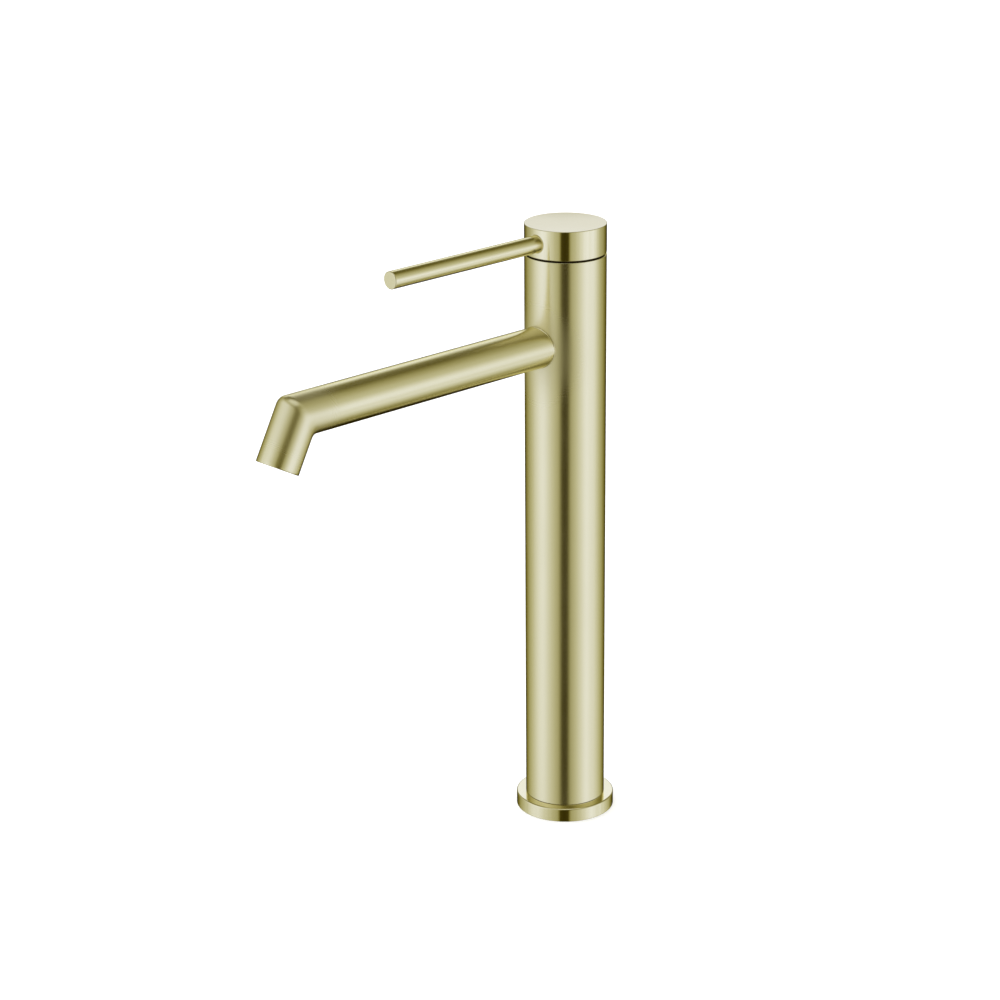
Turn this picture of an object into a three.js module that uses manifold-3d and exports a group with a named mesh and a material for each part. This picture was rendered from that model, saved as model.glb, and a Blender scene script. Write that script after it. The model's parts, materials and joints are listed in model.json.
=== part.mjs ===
// A tall single-lever basin mixer, in millimetres, +Z up.
// The origin is the centre of the foot, where it stands on the deck. The spout points along -Y, and the
// lever lies over it. Turning the lever anticlockwise from above opens cold water first and hot last.
import * as THREE from "three";
import { mergeVertices } from "three/addons/utils/BufferGeometryUtils.js";
import Module from "manifold-3d";

const wasm = await Module();
wasm.setup();

// Driving dimensions.
const GAP = 0.3; // between pieces that touch on the real mixer
const COLUMN_R = 21;
const COLUMN_WALL = 3;
const COLUMN_TOP = 305.8;
const FLANGE_R = 26;
const FLANGE_H = 7.35;
const FLANGE_BEVEL = 0.8;
const CAP_BOTTOM = 306.8;
const CAP_TOP = 321.8;
const EDGE_BEVEL = 0.5; // on the cap, the column and the lever
const LEVER_Z = 314.2;
const LEVER_R = 4.45;
const LEVER_REACH = 119;
const LEVER_TURN = 110; // degrees from closed to fully hot
const SPOUT_Z = 260.3;
const SPOUT_R = 10.7;
const SPOUT_WALL = 1.3;
const BEND_REACH = 179.6; // from the column's axis to the mitre
const TIP_FALL = THREE.MathUtils.degToRad(61.9); // of the tip, below the horizontal
const TIP_LENGTH = 26.4; // from the mitre to the outlet, on the tube's axis

// The brass insert that holds the cartridge, and the block in the foot.
const BORE_R = COLUMN_R - COLUMN_WALL;
const INSERT_R = BORE_R - GAP;
const BODY_BOTTOM = 238;
const BODY_TOP = 303.2;
const CHAMBER_FLOOR = 272;
const CHAMBER_R = 13.3;
const NUT_SEAT = 295.7; // where the chamber widens for the nut's thread
const NUT_BORE_R = 15.3;
const BLOCK_TOP = 26;
const THREAD_R = 8.4; // of the nipple that joins the spout to the valve body
const PORT_R = THREAD_R + GAP;
const NIPPLE_START = 11;
const NIPPLE_END = 33;

// The two supply lines, side by side behind the axis. SIDES gives the +X one first.
const SIDES = { cold: 1, hot: -1 };
const LINE_X = 7;
const LINE_Y = 5;
const TUBE_R = 4;
const TUBE_WALL = 1;
const TUBE_BOTTOM = 15;
const TUBE_TOP = 249.5;
const SOCKET_R = TUBE_R + GAP;
const SOCKET_FLOOR = 14;
const SOCKET_CEILING = 250;
const SOCKET_RING_LOW = 22;
const SOCKET_RING_HIGH = 243;
const TUBE_RING = { major: 4.75, minor: 0.4 };
const INLET_R = 4.46; // M10x1, on its minor diameter
const INLET_DEPTH = 11;
const STUD_R = 3.4; // M8, on its minor diameter
const STUD_DEPTH = 16;
const STUD_Y = -9.5;

// The cartridge, from its base up. Its discs fill DISC_R inside the housing.
const HOUSING_R = CHAMBER_R - GAP;
const CAVITY_R = 11;
const DISC_R = 10.3;
const DISC_H = 3.4;
const PORT_RADIUS = 7.9; // from the axis to the centre of an inlet port
const PORT_ANGLE = 36; // degrees, of the cold port from +X; the hot port mirrors it
const INLET_PORT_R = 2;
const OUTLET_PORT_R = 2.4;
const BASE_BOTTOM = CHAMBER_FLOOR + GAP;
const BASE_STEP = 275;
const BASE_TOP = 279;
const SEAL_BOTTOM = BASE_TOP + GAP;
const SEAL_TOP = SEAL_BOTTOM + 0.8;
const FIXED_BOTTOM = SEAL_TOP + GAP;
const FIXED_TOP = FIXED_BOTTOM + DISC_H;
const MOVING_BOTTOM = FIXED_TOP + GAP;
const MOVING_TOP = MOVING_BOTTOM + DISC_H;
const CARRIER_BOTTOM = MOVING_TOP + GAP;
const CARRIER_TOP = CARRIER_BOTTOM + 3.7;
const STEM_BOTTOM = CARRIER_TOP + GAP;
const STEM_R = 4;
const STEM_TOP = 318;
const CAVITY_TOP = 294.8;
const SHOULDER = 298.7;
const NECK_R = 7.5;
const NECK_TOP = 302;
const KEY_WIDTH = 3;
const KEY_DEPTH = 2;
const PORT_RING = { major: 0.8, minor: 0.35 }; // major is beyond the port's own radius
const PORT_RING_Z = BASE_BOTTOM + 0.55;
const LUG_R = 11.4;
const LUG_HALF = 12; // degrees
const STOP_SLACK = 1; // degrees, past the lug at both ends of its travel

const ROUND = 32; // sides of the large round pieces
const FINE = 16; // sides of the small ones
const RING_SIDES = 5;

const FINISHES = {
  gold: { color: 0xb6ae82, roughness: 0.32, metalness: 1 },
  brass: { color: 0xc0a050, roughness: 0.4, metalness: 1 },
  copper: { color: 0xb8704a, roughness: 0.35, metalness: 1 },
  steel: { color: 0xb8babd, roughness: 0.35, metalness: 1 },
  rubber: { color: 0x1c1c1d, roughness: 0.85, metalness: 0 },
  blackPlastic: { color: 0x141415, roughness: 0.5, metalness: 0 },
  whitePlastic: { color: 0xe4e4de, roughness: 0.45, metalness: 0 },
  greyPlastic: { color: 0x8c9094, roughness: 0.5, metalness: 0 },
  ceramic: { color: 0xf2efe9, roughness: 0.25, metalness: 0 },
};

// Solids.

function toSolid(geometry) {
  const bare = geometry.index ? geometry.toNonIndexed() : geometry.clone();
  const shell = new THREE.BufferGeometry();
  shell.setAttribute("position", bare.getAttribute("position"));
  const merged = mergeVertices(shell, 1e-4);
  return new wasm.Manifold(
    new wasm.Mesh({
      numProp: 3,
      vertProperties: merged.attributes.position.array,
      triVerts: new Uint32Array(merged.index.array),
    }),
  );
}

function toGeometry(solid) {
  const mesh = solid.getMesh();
  const geometry = new THREE.BufferGeometry();
  geometry.setAttribute("position", new THREE.BufferAttribute(mesh.vertProperties, 3));
  geometry.setIndex(new THREE.BufferAttribute(mesh.triVerts, 1));
  geometry.computeVertexNormals();
  return geometry;
}

function cut(body, ...tools) {
  return toGeometry(tools.reduce((left, tool) => left.subtract(toSolid(tool)), toSolid(body)));
}

function join(body, ...others) {
  return toGeometry(others.reduce((left, other) => left.add(toSolid(other)), toSolid(body)));
}

// A solid turned about +Z from an outline of [radius, height] points, anticlockwise round the section.
function turned(outline, sides = ROUND) {
  const points = outline.map(([radius, height]) => new THREE.Vector2(radius, height));
  return new THREE.LatheGeometry(points, sides).rotateX(Math.PI / 2);
}

function ring(inner, outer, bottom, top, sides = ROUND) {
  const section = [
    [inner, bottom],
    [outer, bottom],
    [outer, top],
    [inner, top],
    [inner, bottom],
  ];
  return turned(section, sides);
}

function rod(radius, bottom, top, sides = FINE) {
  const bar = new THREE.CylinderGeometry(radius, radius, top - bottom, sides);
  return bar.rotateX(Math.PI / 2).translate(0, 0, (bottom + top) / 2);
}

function oRing({ major, minor }, height, sides = FINE) {
  return new THREE.TorusGeometry(major, minor, RING_SIDES, sides).translate(0, 0, height);
}

function box(width, depth, bottom, top) {
  return new THREE.BoxGeometry(width, depth, top - bottom).translate(0, 0, (bottom + top) / 2);
}

// Turns a solid drawn up +Z so that it points along the direction, starting from the place given.
function aimed(geometry, direction, place) {
  const up = new THREE.Vector3(0, 0, 1);
  const turn = new THREE.Quaternion().setFromUnitVectors(up, direction);
  return geometry.applyQuaternion(turn).translate(place.x, place.y, place.z);
}

function forward(geometry, height) {
  return aimed(geometry, new THREE.Vector3(0, -1, 0), new THREE.Vector3(0, 0, height));
}

function backward(geometry, height) {
  return aimed(geometry, new THREE.Vector3(0, 1, 0), new THREE.Vector3(0, 0, height));
}

// A flat band that follows an arc about the axis, with round ends, from one angle to another in degrees.
function kidney(radius, halfWidth, from, to, bottom, top) {
  const start = THREE.MathUtils.degToRad(from);
  const end = THREE.MathUtils.degToRad(to);
  const shape = new THREE.Shape();
  shape.absarc(0, 0, radius + halfWidth, start, end, false);
  shape.absarc(radius * Math.cos(end), radius * Math.sin(end), halfWidth, end, end + Math.PI, false);
  shape.absarc(0, 0, radius - halfWidth, end, start, true);
  shape.absarc(
    radius * Math.cos(start),
    radius * Math.sin(start),
    halfWidth,
    start + Math.PI,
    start + 2 * Math.PI,
    false,
  );
  return plate(shape, bottom, top);
}

// A pie-shaped wedge about the axis, between two angles in degrees.
function wedge(radius, from, to, bottom, top) {
  const start = THREE.MathUtils.degToRad(from);
  const end = THREE.MathUtils.degToRad(to);
  const shape = new THREE.Shape();
  shape.moveTo(0, 0);
  shape.lineTo(radius * Math.cos(start), radius * Math.sin(start));
  shape.absarc(0, 0, radius, start, end, false);
  return plate(shape, bottom, top);
}

function plate(shape, bottom, top) {
  const options = { depth: top - bottom, bevelEnabled: false, curveSegments: 6 };
  return new THREE.ExtrudeGeometry(shape, options).translate(0, 0, bottom);
}

// The spout's path: level along -Y to the mitre, then down along TIP.
const BEND = new THREE.Vector3(0, -BEND_REACH, SPOUT_Z);
const TIP = new THREE.Vector3(0, -Math.cos(TIP_FALL), -Math.sin(TIP_FALL));
const TIP_UP = new THREE.Vector3(0, -Math.sin(TIP_FALL), Math.cos(TIP_FALL));
const OUTLET = BEND.clone().addScaledVector(TIP, TIP_LENGTH);

// A round bar along that path, from start (a distance from the axis) to over past the outlet.
function bentBar(radius, start, over) {
  const bar = new THREE.CylinderGeometry(radius, radius, 2, ROUND, 2);
  const points = bar.getAttribute("position");
  for (let i = 0; i < points.count; i++) {
    const side = points.getX(i);
    const station = Math.round(points.getY(i));
    const rise = points.getZ(i);
    const point = new THREE.Vector3(side, 0, 0);
    if (station === 1) point.add(new THREE.Vector3(0, -start, SPOUT_Z + rise));
    if (station === 0) {
      point.add(BEND);
      point.y -= rise * Math.tan(TIP_FALL / 2);
      point.z += rise;
    }
    if (station === -1) {
      point.add(OUTLET).addScaledVector(TIP, over);
      point.addScaledVector(TIP_UP, rise);
    }
    points.setXYZ(i, point.x, point.y, point.z);
  }
  return bar;
}

// Pieces that stand still: the outside.

function columnTube() {
  const bottom = FLANGE_H + GAP;
  const tube = turned([
    [BORE_R, bottom],
    [COLUMN_R - EDGE_BEVEL, bottom],
    [COLUMN_R, bottom + EDGE_BEVEL],
    [COLUMN_R, COLUMN_TOP - EDGE_BEVEL],
    [COLUMN_R - EDGE_BEVEL, COLUMN_TOP],
    [BORE_R, COLUMN_TOP],
    [BORE_R, bottom],
  ]);
  return cut(tube, forward(rod(PORT_R, 0, COLUMN_R + 5), SPOUT_Z));
}

const GASKET = { inner: 21.3, outer: 24, height: 1.5 };
const BASE_RING = { major: 19.5, minor: 0.4 };

function baseFlange() {
  const body = turned([
    [BORE_R, 0],
    [FLANGE_R, 0],
    [FLANGE_R, FLANGE_H - FLANGE_BEVEL],
    [FLANGE_R - FLANGE_BEVEL, FLANGE_H],
    [BORE_R, FLANGE_H],
    [BORE_R, 0],
  ]);
  const gasketGroove = ring(GASKET.inner - GAP, GASKET.outer + GAP, -1, GASKET.height + GAP);
  const reach = BASE_RING.minor + GAP;
  const ringGroove = ring(BASE_RING.major - reach, BASE_RING.major + reach, FLANGE_H - 1, FLANGE_H + 1);
  return cut(body, gasketGroove, ringGroove);
}

function spout() {
  const throat = 35; // the bore is narrower up to here, for the nipple's thread
  const tube = bentBar(SPOUT_R, 0, 0);
  const saddle = rod(COLUMN_R + GAP, SPOUT_Z - 2 * SPOUT_R, SPOUT_Z + 2 * SPOUT_R, ROUND);
  const bore = bentBar(SPOUT_R - SPOUT_WALL, throat, 1);
  return cut(tube, saddle, bore, forward(rod(PORT_R, 0, throat + 1), SPOUT_Z));
}

function glideRing() {
  const inner = 15.6;
  const lip = COLUMN_R - 1.1;
  return turned([
    [inner, BODY_TOP + GAP],
    [INSERT_R, BODY_TOP + GAP],
    [INSERT_R, COLUMN_TOP + GAP],
    [lip, COLUMN_TOP + GAP],
    [lip, CAP_BOTTOM - GAP],
    [inner, CAP_BOTTOM - GAP],
    [inner, BODY_TOP + GAP],
  ]);
}

// The foot.

const BLOCK_RING = { major: 17.2, minor: 0.45 };
const BLOCK_RING_Z = 18;

// The socket that a supply tube's end sits in, with the groove for its ring.
function socket(side, bottom, top, ringHeight) {
  const reach = TUBE_RING.major + TUBE_RING.minor + GAP;
  const half = 2 * TUBE_RING.minor; // of the groove's height
  const hole = rod(SOCKET_R, bottom, top);
  const groove = rod(reach, ringHeight - half, ringHeight + half);
  return join(hole, groove).translate(side * LINE_X, LINE_Y, 0);
}

function baseBlock() {
  const block = rod(INSERT_R, 0, BLOCK_TOP, ROUND);
  const reach = BLOCK_RING.minor + GAP;
  const groove = ring(
    BLOCK_RING.major - reach,
    INSERT_R + 1,
    BLOCK_RING_Z - reach,
    BLOCK_RING_Z + reach,
  );
  const holes = Object.values(SIDES).flatMap((side) => [
    rod(INLET_R, -1, INLET_DEPTH).translate(side * LINE_X, LINE_Y, 0),
    rod(TUBE_R - TUBE_WALL, INLET_DEPTH - 1, SOCKET_FLOOR + 1).translate(side * LINE_X, LINE_Y, 0),
    socket(side, SOCKET_FLOOR, BLOCK_TOP + 1, SOCKET_RING_LOW),
  ]);
  return cut(block, groove, ...holes, rod(STUD_R, -1, STUD_DEPTH).translate(0, STUD_Y, 0));
}

function supplyTube(side) {
  const tube = ring(TUBE_R - TUBE_WALL, TUBE_R, TUBE_BOTTOM, TUBE_TOP, FINE);
  return tube.translate(side * LINE_X, LINE_Y, 0);
}

// The valve body, and the nipple that the spout screws on to.

function inletPort(side) {
  const angle = THREE.MathUtils.degToRad(PORT_ANGLE);
  return new THREE.Vector2(side * PORT_RADIUS * Math.cos(angle), PORT_RADIUS * Math.sin(angle));
}

function valveBody() {
  const gallery = 6.2; // radius of the passage to the spout
  const ducts = Object.values(SIDES).flatMap((side) => {
    const port = inletPort(side);
    const duct = rod(INLET_PORT_R, SOCKET_CEILING - 2, CHAMBER_FLOOR + 1).translate(port.x, port.y, 0);
    return [socket(side, BODY_BOTTOM - 1, SOCKET_CEILING, SOCKET_RING_HIGH), duct];
  });
  return cut(
    rod(INSERT_R, BODY_BOTTOM, BODY_TOP, ROUND),
    rod(CHAMBER_R, CHAMBER_FLOOR, BODY_TOP + 1, ROUND),
    rod(NUT_BORE_R, NUT_SEAT, BODY_TOP + 1, ROUND),
    rod(OUTLET_PORT_R, SPOUT_Z, CHAMBER_FLOOR + 1),
    forward(rod(gallery, -0.5, INSERT_R), SPOUT_Z),
    forward(rod(PORT_R, NIPPLE_START - GAP, INSERT_R + 2), SPOUT_Z),
    ...ducts,
  );
}

const NIPPLE_RING = { major: 7.95, minor: 0.5 };
const NIPPLE_RINGS = { inner: 14, outer: 30 }; // distances from the column's axis

function spoutNipple() {
  const bore = 6.2;
  const groove = NIPPLE_RING.major - NIPPLE_RING.minor - GAP;
  const half = NIPPLE_RING.minor + GAP;
  const outline = [
    [bore, NIPPLE_START],
    [THREAD_R, NIPPLE_START],
  ];
  for (const at of Object.values(NIPPLE_RINGS)) {
    outline.push([THREAD_R, at - half], [groove, at - half], [groove, at + half], [THREAD_R, at + half]);
  }
  outline.push([THREAD_R, NIPPLE_END], [bore, NIPPLE_END], [bore, NIPPLE_START]);
  return forward(turned(outline, FINE), SPOUT_Z);
}

// The half of the cartridge that stands still.

function ports(bottom, top) {
  const inlets = Object.values(SIDES).map((side) => {
    const port = inletPort(side);
    return rod(INLET_PORT_R, bottom, top).translate(port.x, port.y, 0);
  });
  return [...inlets, rod(OUTLET_PORT_R, bottom, top)];
}

// Two notches in the rim, one on each side, that take keys.
function keyways(bottom, top) {
  return [1, -1].map((side) =>
    box(2 * KEY_DEPTH, KEY_WIDTH, bottom, top).translate(side * CAVITY_R, 0, 0),
  );
}

function keys(bottom, top) {
  const width = KEY_WIDTH - 2 * GAP;
  const outer = CAVITY_R - GAP;
  const inner = CAVITY_R - KEY_DEPTH + GAP;
  return [1, -1].map((side) =>
    box(outer - inner, width, bottom, top).translate((side * (inner + outer)) / 2, 0, 0),
  );
}

function portGroove(radius, place) {
  const middle = radius + PORT_RING.major;
  const reach = PORT_RING.minor + GAP;
  const floor = PORT_RING_Z + 0.75;
  const groove = ring(middle - reach, middle + reach, BASE_BOTTOM - 1, floor, FINE);
  return groove.translate(place.x, place.y, 0);
}

function portSeal(radius, place) {
  const size = { major: radius + PORT_RING.major, minor: PORT_RING.minor };
  return oRing(size, PORT_RING_Z).translate(place.x, place.y, 0);
}

function cartridgeBase() {
  const foot = rod(HOUSING_R, BASE_BOTTOM, BASE_STEP, ROUND);
  const plug = rod(CAVITY_R - GAP, BASE_STEP - 1, BASE_TOP, ROUND);
  const body = join(foot, plug, ...keys(BASE_TOP - 1, FIXED_TOP - 0.6));
  const grooves = Object.values(SIDES).map((side) => portGroove(INLET_PORT_R, inletPort(side)));
  const outlet = portGroove(OUTLET_PORT_R, new THREE.Vector2());
  return cut(body, ...ports(BASE_BOTTOM - 1, BASE_TOP + 1), ...grooves, outlet);
}

function discSeal() {
  const sheet = rod(DISC_R, SEAL_BOTTOM, SEAL_TOP, ROUND);
  return cut(sheet, ...ports(SEAL_BOTTOM - 1, SEAL_TOP + 1), ...keyways(SEAL_BOTTOM - 1, SEAL_TOP + 1));
}

// Each inlet opens on top as a kidney that runs from its port towards the back.
function fixedCeramicDisc() {
  const low = FIXED_BOTTOM - 1;
  const high = FIXED_TOP + 1;
  const sweep = 80; // degrees from +X to the cold kidney's end, and from -X to the hot one's
  const middle = 7.6;
  const half = 1.8;
  const cold = kidney(middle, half, PORT_ANGLE, sweep, low, high);
  const hot = kidney(middle, half, 180 - sweep, 180 - PORT_ANGLE, low, high);
  return cut(
    rod(DISC_R, FIXED_BOTTOM, FIXED_TOP, ROUND),
    rod(OUTLET_PORT_R, low, high),
    cold,
    hot,
    ...keyways(low, high),
  );
}

function cartridgeHousing() {
  const neckBore = STEM_RING.major + STEM_RING.minor + GAP;
  const shell = turned([
    [CAVITY_R, BASE_STEP + GAP],
    [HOUSING_R, BASE_STEP + GAP],
    [HOUSING_R, SHOULDER],
    [NECK_R, SHOULDER],
    [NECK_R, NECK_TOP],
    [neckBore, NECK_TOP],
    [neckBore, CAVITY_TOP],
    [CAVITY_R, CAVITY_TOP],
    [CAVITY_R, BASE_STEP + GAP],
  ]);
  const first = 180 - LUG_HALF - STOP_SLACK;
  const last = 180 + LEVER_TURN + LUG_HALF + STOP_SLACK;
  return cut(shell, wedge(LUG_R + GAP, first, last, CARRIER_BOTTOM, CARRIER_TOP + GAP));
}

function cartridgeNut() {
  const bottom = SHOULDER + GAP;
  const collar = ring(NECK_R + GAP, NUT_BORE_R - GAP, bottom, BODY_TOP);
  const slot = { width: 4, depth: 1.5 };
  const slots = [0, 1].map((turn) =>
    box(slot.width, 2 * NUT_BORE_R, BODY_TOP - slot.depth, BODY_TOP + 1).rotateZ((turn * Math.PI) / 2),
  );
  return cut(collar, ...slots);
}

// The half of the cartridge that turns with the lever.

function movingCeramicDisc() {
  const pocket = 2;
  const reach = 9.4;
  const half = 12; // degrees
  const low = MOVING_BOTTOM - 1;
  const slot = join(
    rod(OUTLET_PORT_R, low, MOVING_BOTTOM + pocket),
    wedge(reach, -half, half, low, MOVING_BOTTOM + pocket),
  );
  const notches = keyways(MOVING_BOTTOM - 1, MOVING_TOP + 1).map((notch) => notch.rotateZ(Math.PI / 2));
  return cut(rod(DISC_R, MOVING_BOTTOM, MOVING_TOP, ROUND), slot, ...notches);
}

const TANG = 8;

function discCarrier() {
  const round = rod(DISC_R, CARRIER_BOTTOM, CARRIER_TOP, ROUND);
  const tabs = keys(CARRIER_BOTTOM - 2, CARRIER_BOTTOM + 1).map((tab) => tab.rotateZ(Math.PI / 2));
  const lug = wedge(LUG_R, 180 - LUG_HALF, 180 + LUG_HALF, CARRIER_BOTTOM + GAP, CARRIER_TOP);
  const hole = box(TANG + 2 * GAP, TANG + 2 * GAP, CARRIER_BOTTOM - 1, CARRIER_TOP + 1);
  return cut(join(round, ...tabs, lug), hole);
}

const STEM_COLLAR_R = 5;
const STEM_RING = { major: 4.95, minor: 0.55 };
const STEM_RING_Z = 297.5;

function cartridgeStem() {
  const groove = STEM_RING.major - STEM_RING.minor - GAP;
  const reach = STEM_RING.minor + GAP;
  const collarTop = 300.5;
  const flange = { radius: 7.2, top: STEM_BOTTOM + 2.2 };
  const shaft = turned(
    [
      [0, STEM_BOTTOM],
      [flange.radius, STEM_BOTTOM],
      [flange.radius, flange.top],
      [STEM_COLLAR_R, flange.top],
      [STEM_COLLAR_R, STEM_RING_Z - reach],
      [groove, STEM_RING_Z - reach],
      [groove, STEM_RING_Z + reach],
      [STEM_COLLAR_R, STEM_RING_Z + reach],
      [STEM_COLLAR_R, collarTop],
      [STEM_R, collarTop],
      [STEM_R, STEM_TOP],
      [0, STEM_TOP],
    ],
    FINE,
  );
  const tang = box(TANG, TANG, CARRIER_BOTTOM + 0.5, STEM_BOTTOM + 1);
  const flat = box(4 * STEM_R, STEM_R, STEM_TOP - 9, STEM_TOP + 1).translate(0, 1.3 * STEM_R, 0);
  return cut(join(shaft, tang), flat);
}

// The handle.

const TAIL_R = 2.85;
const TAIL_END = 8; // distance from the axis
const SPOT_FACE = 20; // where the lever's shoulder sits, from the axis
const SCREW_R = 2;
const SCREW_START = 3.7;
const PLUG_SEAT = 17;
const PLUG_R = 2.7;

function handleCap() {
  const relief = { radius: 16.2, top: CAP_BOTTOM + 3 };
  const body = turned([
    [0, relief.top],
    [relief.radius, relief.top],
    [relief.radius, CAP_BOTTOM],
    [COLUMN_R - EDGE_BEVEL, CAP_BOTTOM],
    [COLUMN_R, CAP_BOTTOM + EDGE_BEVEL],
    [COLUMN_R, CAP_TOP - EDGE_BEVEL],
    [COLUMN_R - EDGE_BEVEL, CAP_TOP],
    [0, CAP_TOP],
  ]);
  return cut(
    body,
    rod(STEM_R + GAP, CAP_BOTTOM, STEM_TOP + 0.5),
    forward(rod(LEVER_R + GAP, SPOT_FACE, COLUMN_R + 5), LEVER_Z),
    forward(rod(TAIL_R + GAP, TAIL_END - 0.5, COLUMN_R), LEVER_Z),
    backward(rod(SCREW_R + GAP, 1, COLUMN_R), LEVER_Z),
    backward(rod(PLUG_R + GAP, PLUG_SEAT, COLUMN_R + 5), LEVER_Z),
  );
}

function leverPin() {
  const shoulder = SPOT_FACE + GAP;
  const pin = turned(
    [
      [0, TAIL_END],
      [TAIL_R, TAIL_END],
      [TAIL_R, shoulder],
      [LEVER_R, shoulder],
      [LEVER_R, LEVER_REACH - EDGE_BEVEL],
      [LEVER_R - EDGE_BEVEL, LEVER_REACH],
      [0, LEVER_REACH],
    ],
    FINE,
  );
  return forward(pin, LEVER_Z);
}

function handleSetScrew() {
  const length = 8;
  const end = SCREW_START + length;
  const screw = rod(SCREW_R, SCREW_START, end, 24);
  const hexRecess = rod(1.1, end - 2.5, end + 1, 6);
  return backward(cut(screw, hexRecess), LEVER_Z);
}

function screwPlug() {
  return backward(rod(PLUG_R, PLUG_SEAT + GAP, COLUMN_R - 0.2, 32), LEVER_Z);
}

// The aerator, drawn up +Z with its mouth at 0 and turned to the spout's tip.

const AERATOR_R = SPOUT_R - SPOUT_WALL - GAP;
const AERATOR_BORE_R = 7.6;
const AERATOR_TOP = -9;
const CORE_R = AERATOR_BORE_R - GAP; // of what sits inside the housing

function inTip(geometry) {
  return aimed(geometry, TIP, OUTLET);
}

function aeratorHousing() {
  const lip = { radius: 6.8, bottom: -0.6, top: -1.6 };
  const cup = turned(
    [
      [AERATOR_BORE_R, AERATOR_TOP],
      [AERATOR_R, AERATOR_TOP],
      [AERATOR_R, lip.bottom],
      [lip.radius, lip.bottom],
      [lip.radius, lip.top],
      [AERATOR_BORE_R, lip.top],
      [AERATOR_BORE_R, AERATOR_TOP],
    ],
    FINE,
  );
  return inTip(cup);
}

function aeratorInsert() {
  const pitch = 2.9;
  const hole = { radius: 1.05, limit: 6.2 };
  const holes = [];
  for (let row = -2; row <= 2; row++) {
    for (let column = -2; column <= 2; column++) {
      const x = pitch * (column + row / 2);
      const y = (pitch * row * Math.sqrt(3)) / 2;
      if (Math.hypot(x, y) > hole.limit) continue;
      holes.push(rod(hole.radius, -7, -1, 6).translate(x, y, 0));
    }
  }
  return inTip(cut(rod(CORE_R, -6.2, -1.9, FINE), ...holes));
}

function aeratorScreen() {
  return inTip(ring(1.2, CORE_R, -7.4, -6.6, FINE));
}

function aeratorSeal() {
  return inTip(ring(7, AERATOR_R, AERATOR_TOP - 2.2, AERATOR_TOP - GAP, FINE));
}

// The assembly.

const mixer = new THREE.Group();

function add(name, geometry, finish) {
  const mesh = new THREE.Mesh(geometry, new THREE.MeshStandardMaterial(FINISHES[finish]));
  mesh.name = name;
  mixer.add(mesh);
}

add("column_tube", columnTube(), "gold");
add("base_flange", baseFlange(), "gold");
add("base_gasket", ring(GASKET.inner, GASKET.outer, 0, GASKET.height), "rubber");
add("column_base_seal", oRing(BASE_RING, FLANGE_H - 0.4, 24), "rubber");
add("base_block", baseBlock(), "brass");
add("base_block_o_ring", oRing(BLOCK_RING, BLOCK_RING_Z, 24), "rubber");
for (const [line, side] of Object.entries(SIDES)) {
  const port = inletPort(side);
  add(line + "_supply_tube", supplyTube(side), "copper");
  add(line + "_lower_o_ring", oRing(TUBE_RING, SOCKET_RING_LOW).translate(side * LINE_X, LINE_Y, 0), "rubber");
  add(line + "_upper_o_ring", oRing(TUBE_RING, SOCKET_RING_HIGH).translate(side * LINE_X, LINE_Y, 0), "rubber");
  add(line + "_port_seal", portSeal(INLET_PORT_R, port), "rubber");
}
add("valve_body", valveBody(), "brass");
add("spout_nipple", spoutNipple(), "brass");
for (const [place, at] of Object.entries(NIPPLE_RINGS)) {
  add("nipple_" + place + "_o_ring", forward(oRing(NIPPLE_RING, at), SPOUT_Z), "rubber");
}
add("spout", spout(), "gold");
add("aerator_housing", aeratorHousing(), "blackPlastic");
add("aerator_insert", aeratorInsert(), "greyPlastic");
add("aerator_screen", aeratorScreen(), "steel");
add("aerator_seal", aeratorSeal(), "rubber");
add("outlet_port_seal", portSeal(OUTLET_PORT_R, new THREE.Vector2()), "rubber");
add("cartridge_base", cartridgeBase(), "greyPlastic");
add("disc_seal", discSeal(), "rubber");
add("fixed_ceramic_disc", fixedCeramicDisc(), "ceramic");
add("cartridge_housing", cartridgeHousing(), "whitePlastic");
add("cartridge_nut", cartridgeNut(), "brass");
add("glide_ring", glideRing(), "blackPlastic");
add("moving_ceramic_disc", movingCeramicDisc(), "ceramic");
add("disc_carrier", discCarrier(), "blackPlastic");
add("cartridge_stem", cartridgeStem(), "brass");
add("stem_o_ring", oRing(STEM_RING, STEM_RING_Z), "rubber");
add("handle_cap", handleCap(), "gold");
add("lever_pin", leverPin(), "gold");
add("handle_set_screw", handleSetScrew(), "steel");
add("screw_plug", screwPlug(), "gold");

export default mixer;
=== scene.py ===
import json
import math

import bpy
from mathutils import Matrix, Vector


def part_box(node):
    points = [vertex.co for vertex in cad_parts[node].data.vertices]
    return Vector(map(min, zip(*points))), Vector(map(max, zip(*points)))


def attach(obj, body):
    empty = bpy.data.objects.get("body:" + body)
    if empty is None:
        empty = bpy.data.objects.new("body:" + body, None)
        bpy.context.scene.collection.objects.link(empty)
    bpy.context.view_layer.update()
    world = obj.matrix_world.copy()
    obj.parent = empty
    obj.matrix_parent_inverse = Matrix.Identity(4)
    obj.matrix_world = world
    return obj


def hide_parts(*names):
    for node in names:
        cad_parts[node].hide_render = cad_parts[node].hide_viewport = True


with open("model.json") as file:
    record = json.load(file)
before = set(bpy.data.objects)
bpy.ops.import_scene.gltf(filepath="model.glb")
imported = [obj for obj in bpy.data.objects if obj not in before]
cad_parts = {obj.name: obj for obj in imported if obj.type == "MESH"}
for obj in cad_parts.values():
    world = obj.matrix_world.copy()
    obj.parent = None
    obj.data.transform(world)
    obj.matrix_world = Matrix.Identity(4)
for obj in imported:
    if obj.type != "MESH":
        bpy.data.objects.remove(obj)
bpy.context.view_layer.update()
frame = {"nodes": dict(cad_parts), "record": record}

# Lengths are in metres. MM turns millimetres into them.
MM = 0.001
SIDES = 192  # round the large turned pieces
FEW_SIDES = 96  # round the small ones
ARC_STEP = math.radians(15)  # between the points of a rounded edge
OUTWARD = Vector((0, -1, 0))  # the way the spout and the closed lever point

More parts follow.
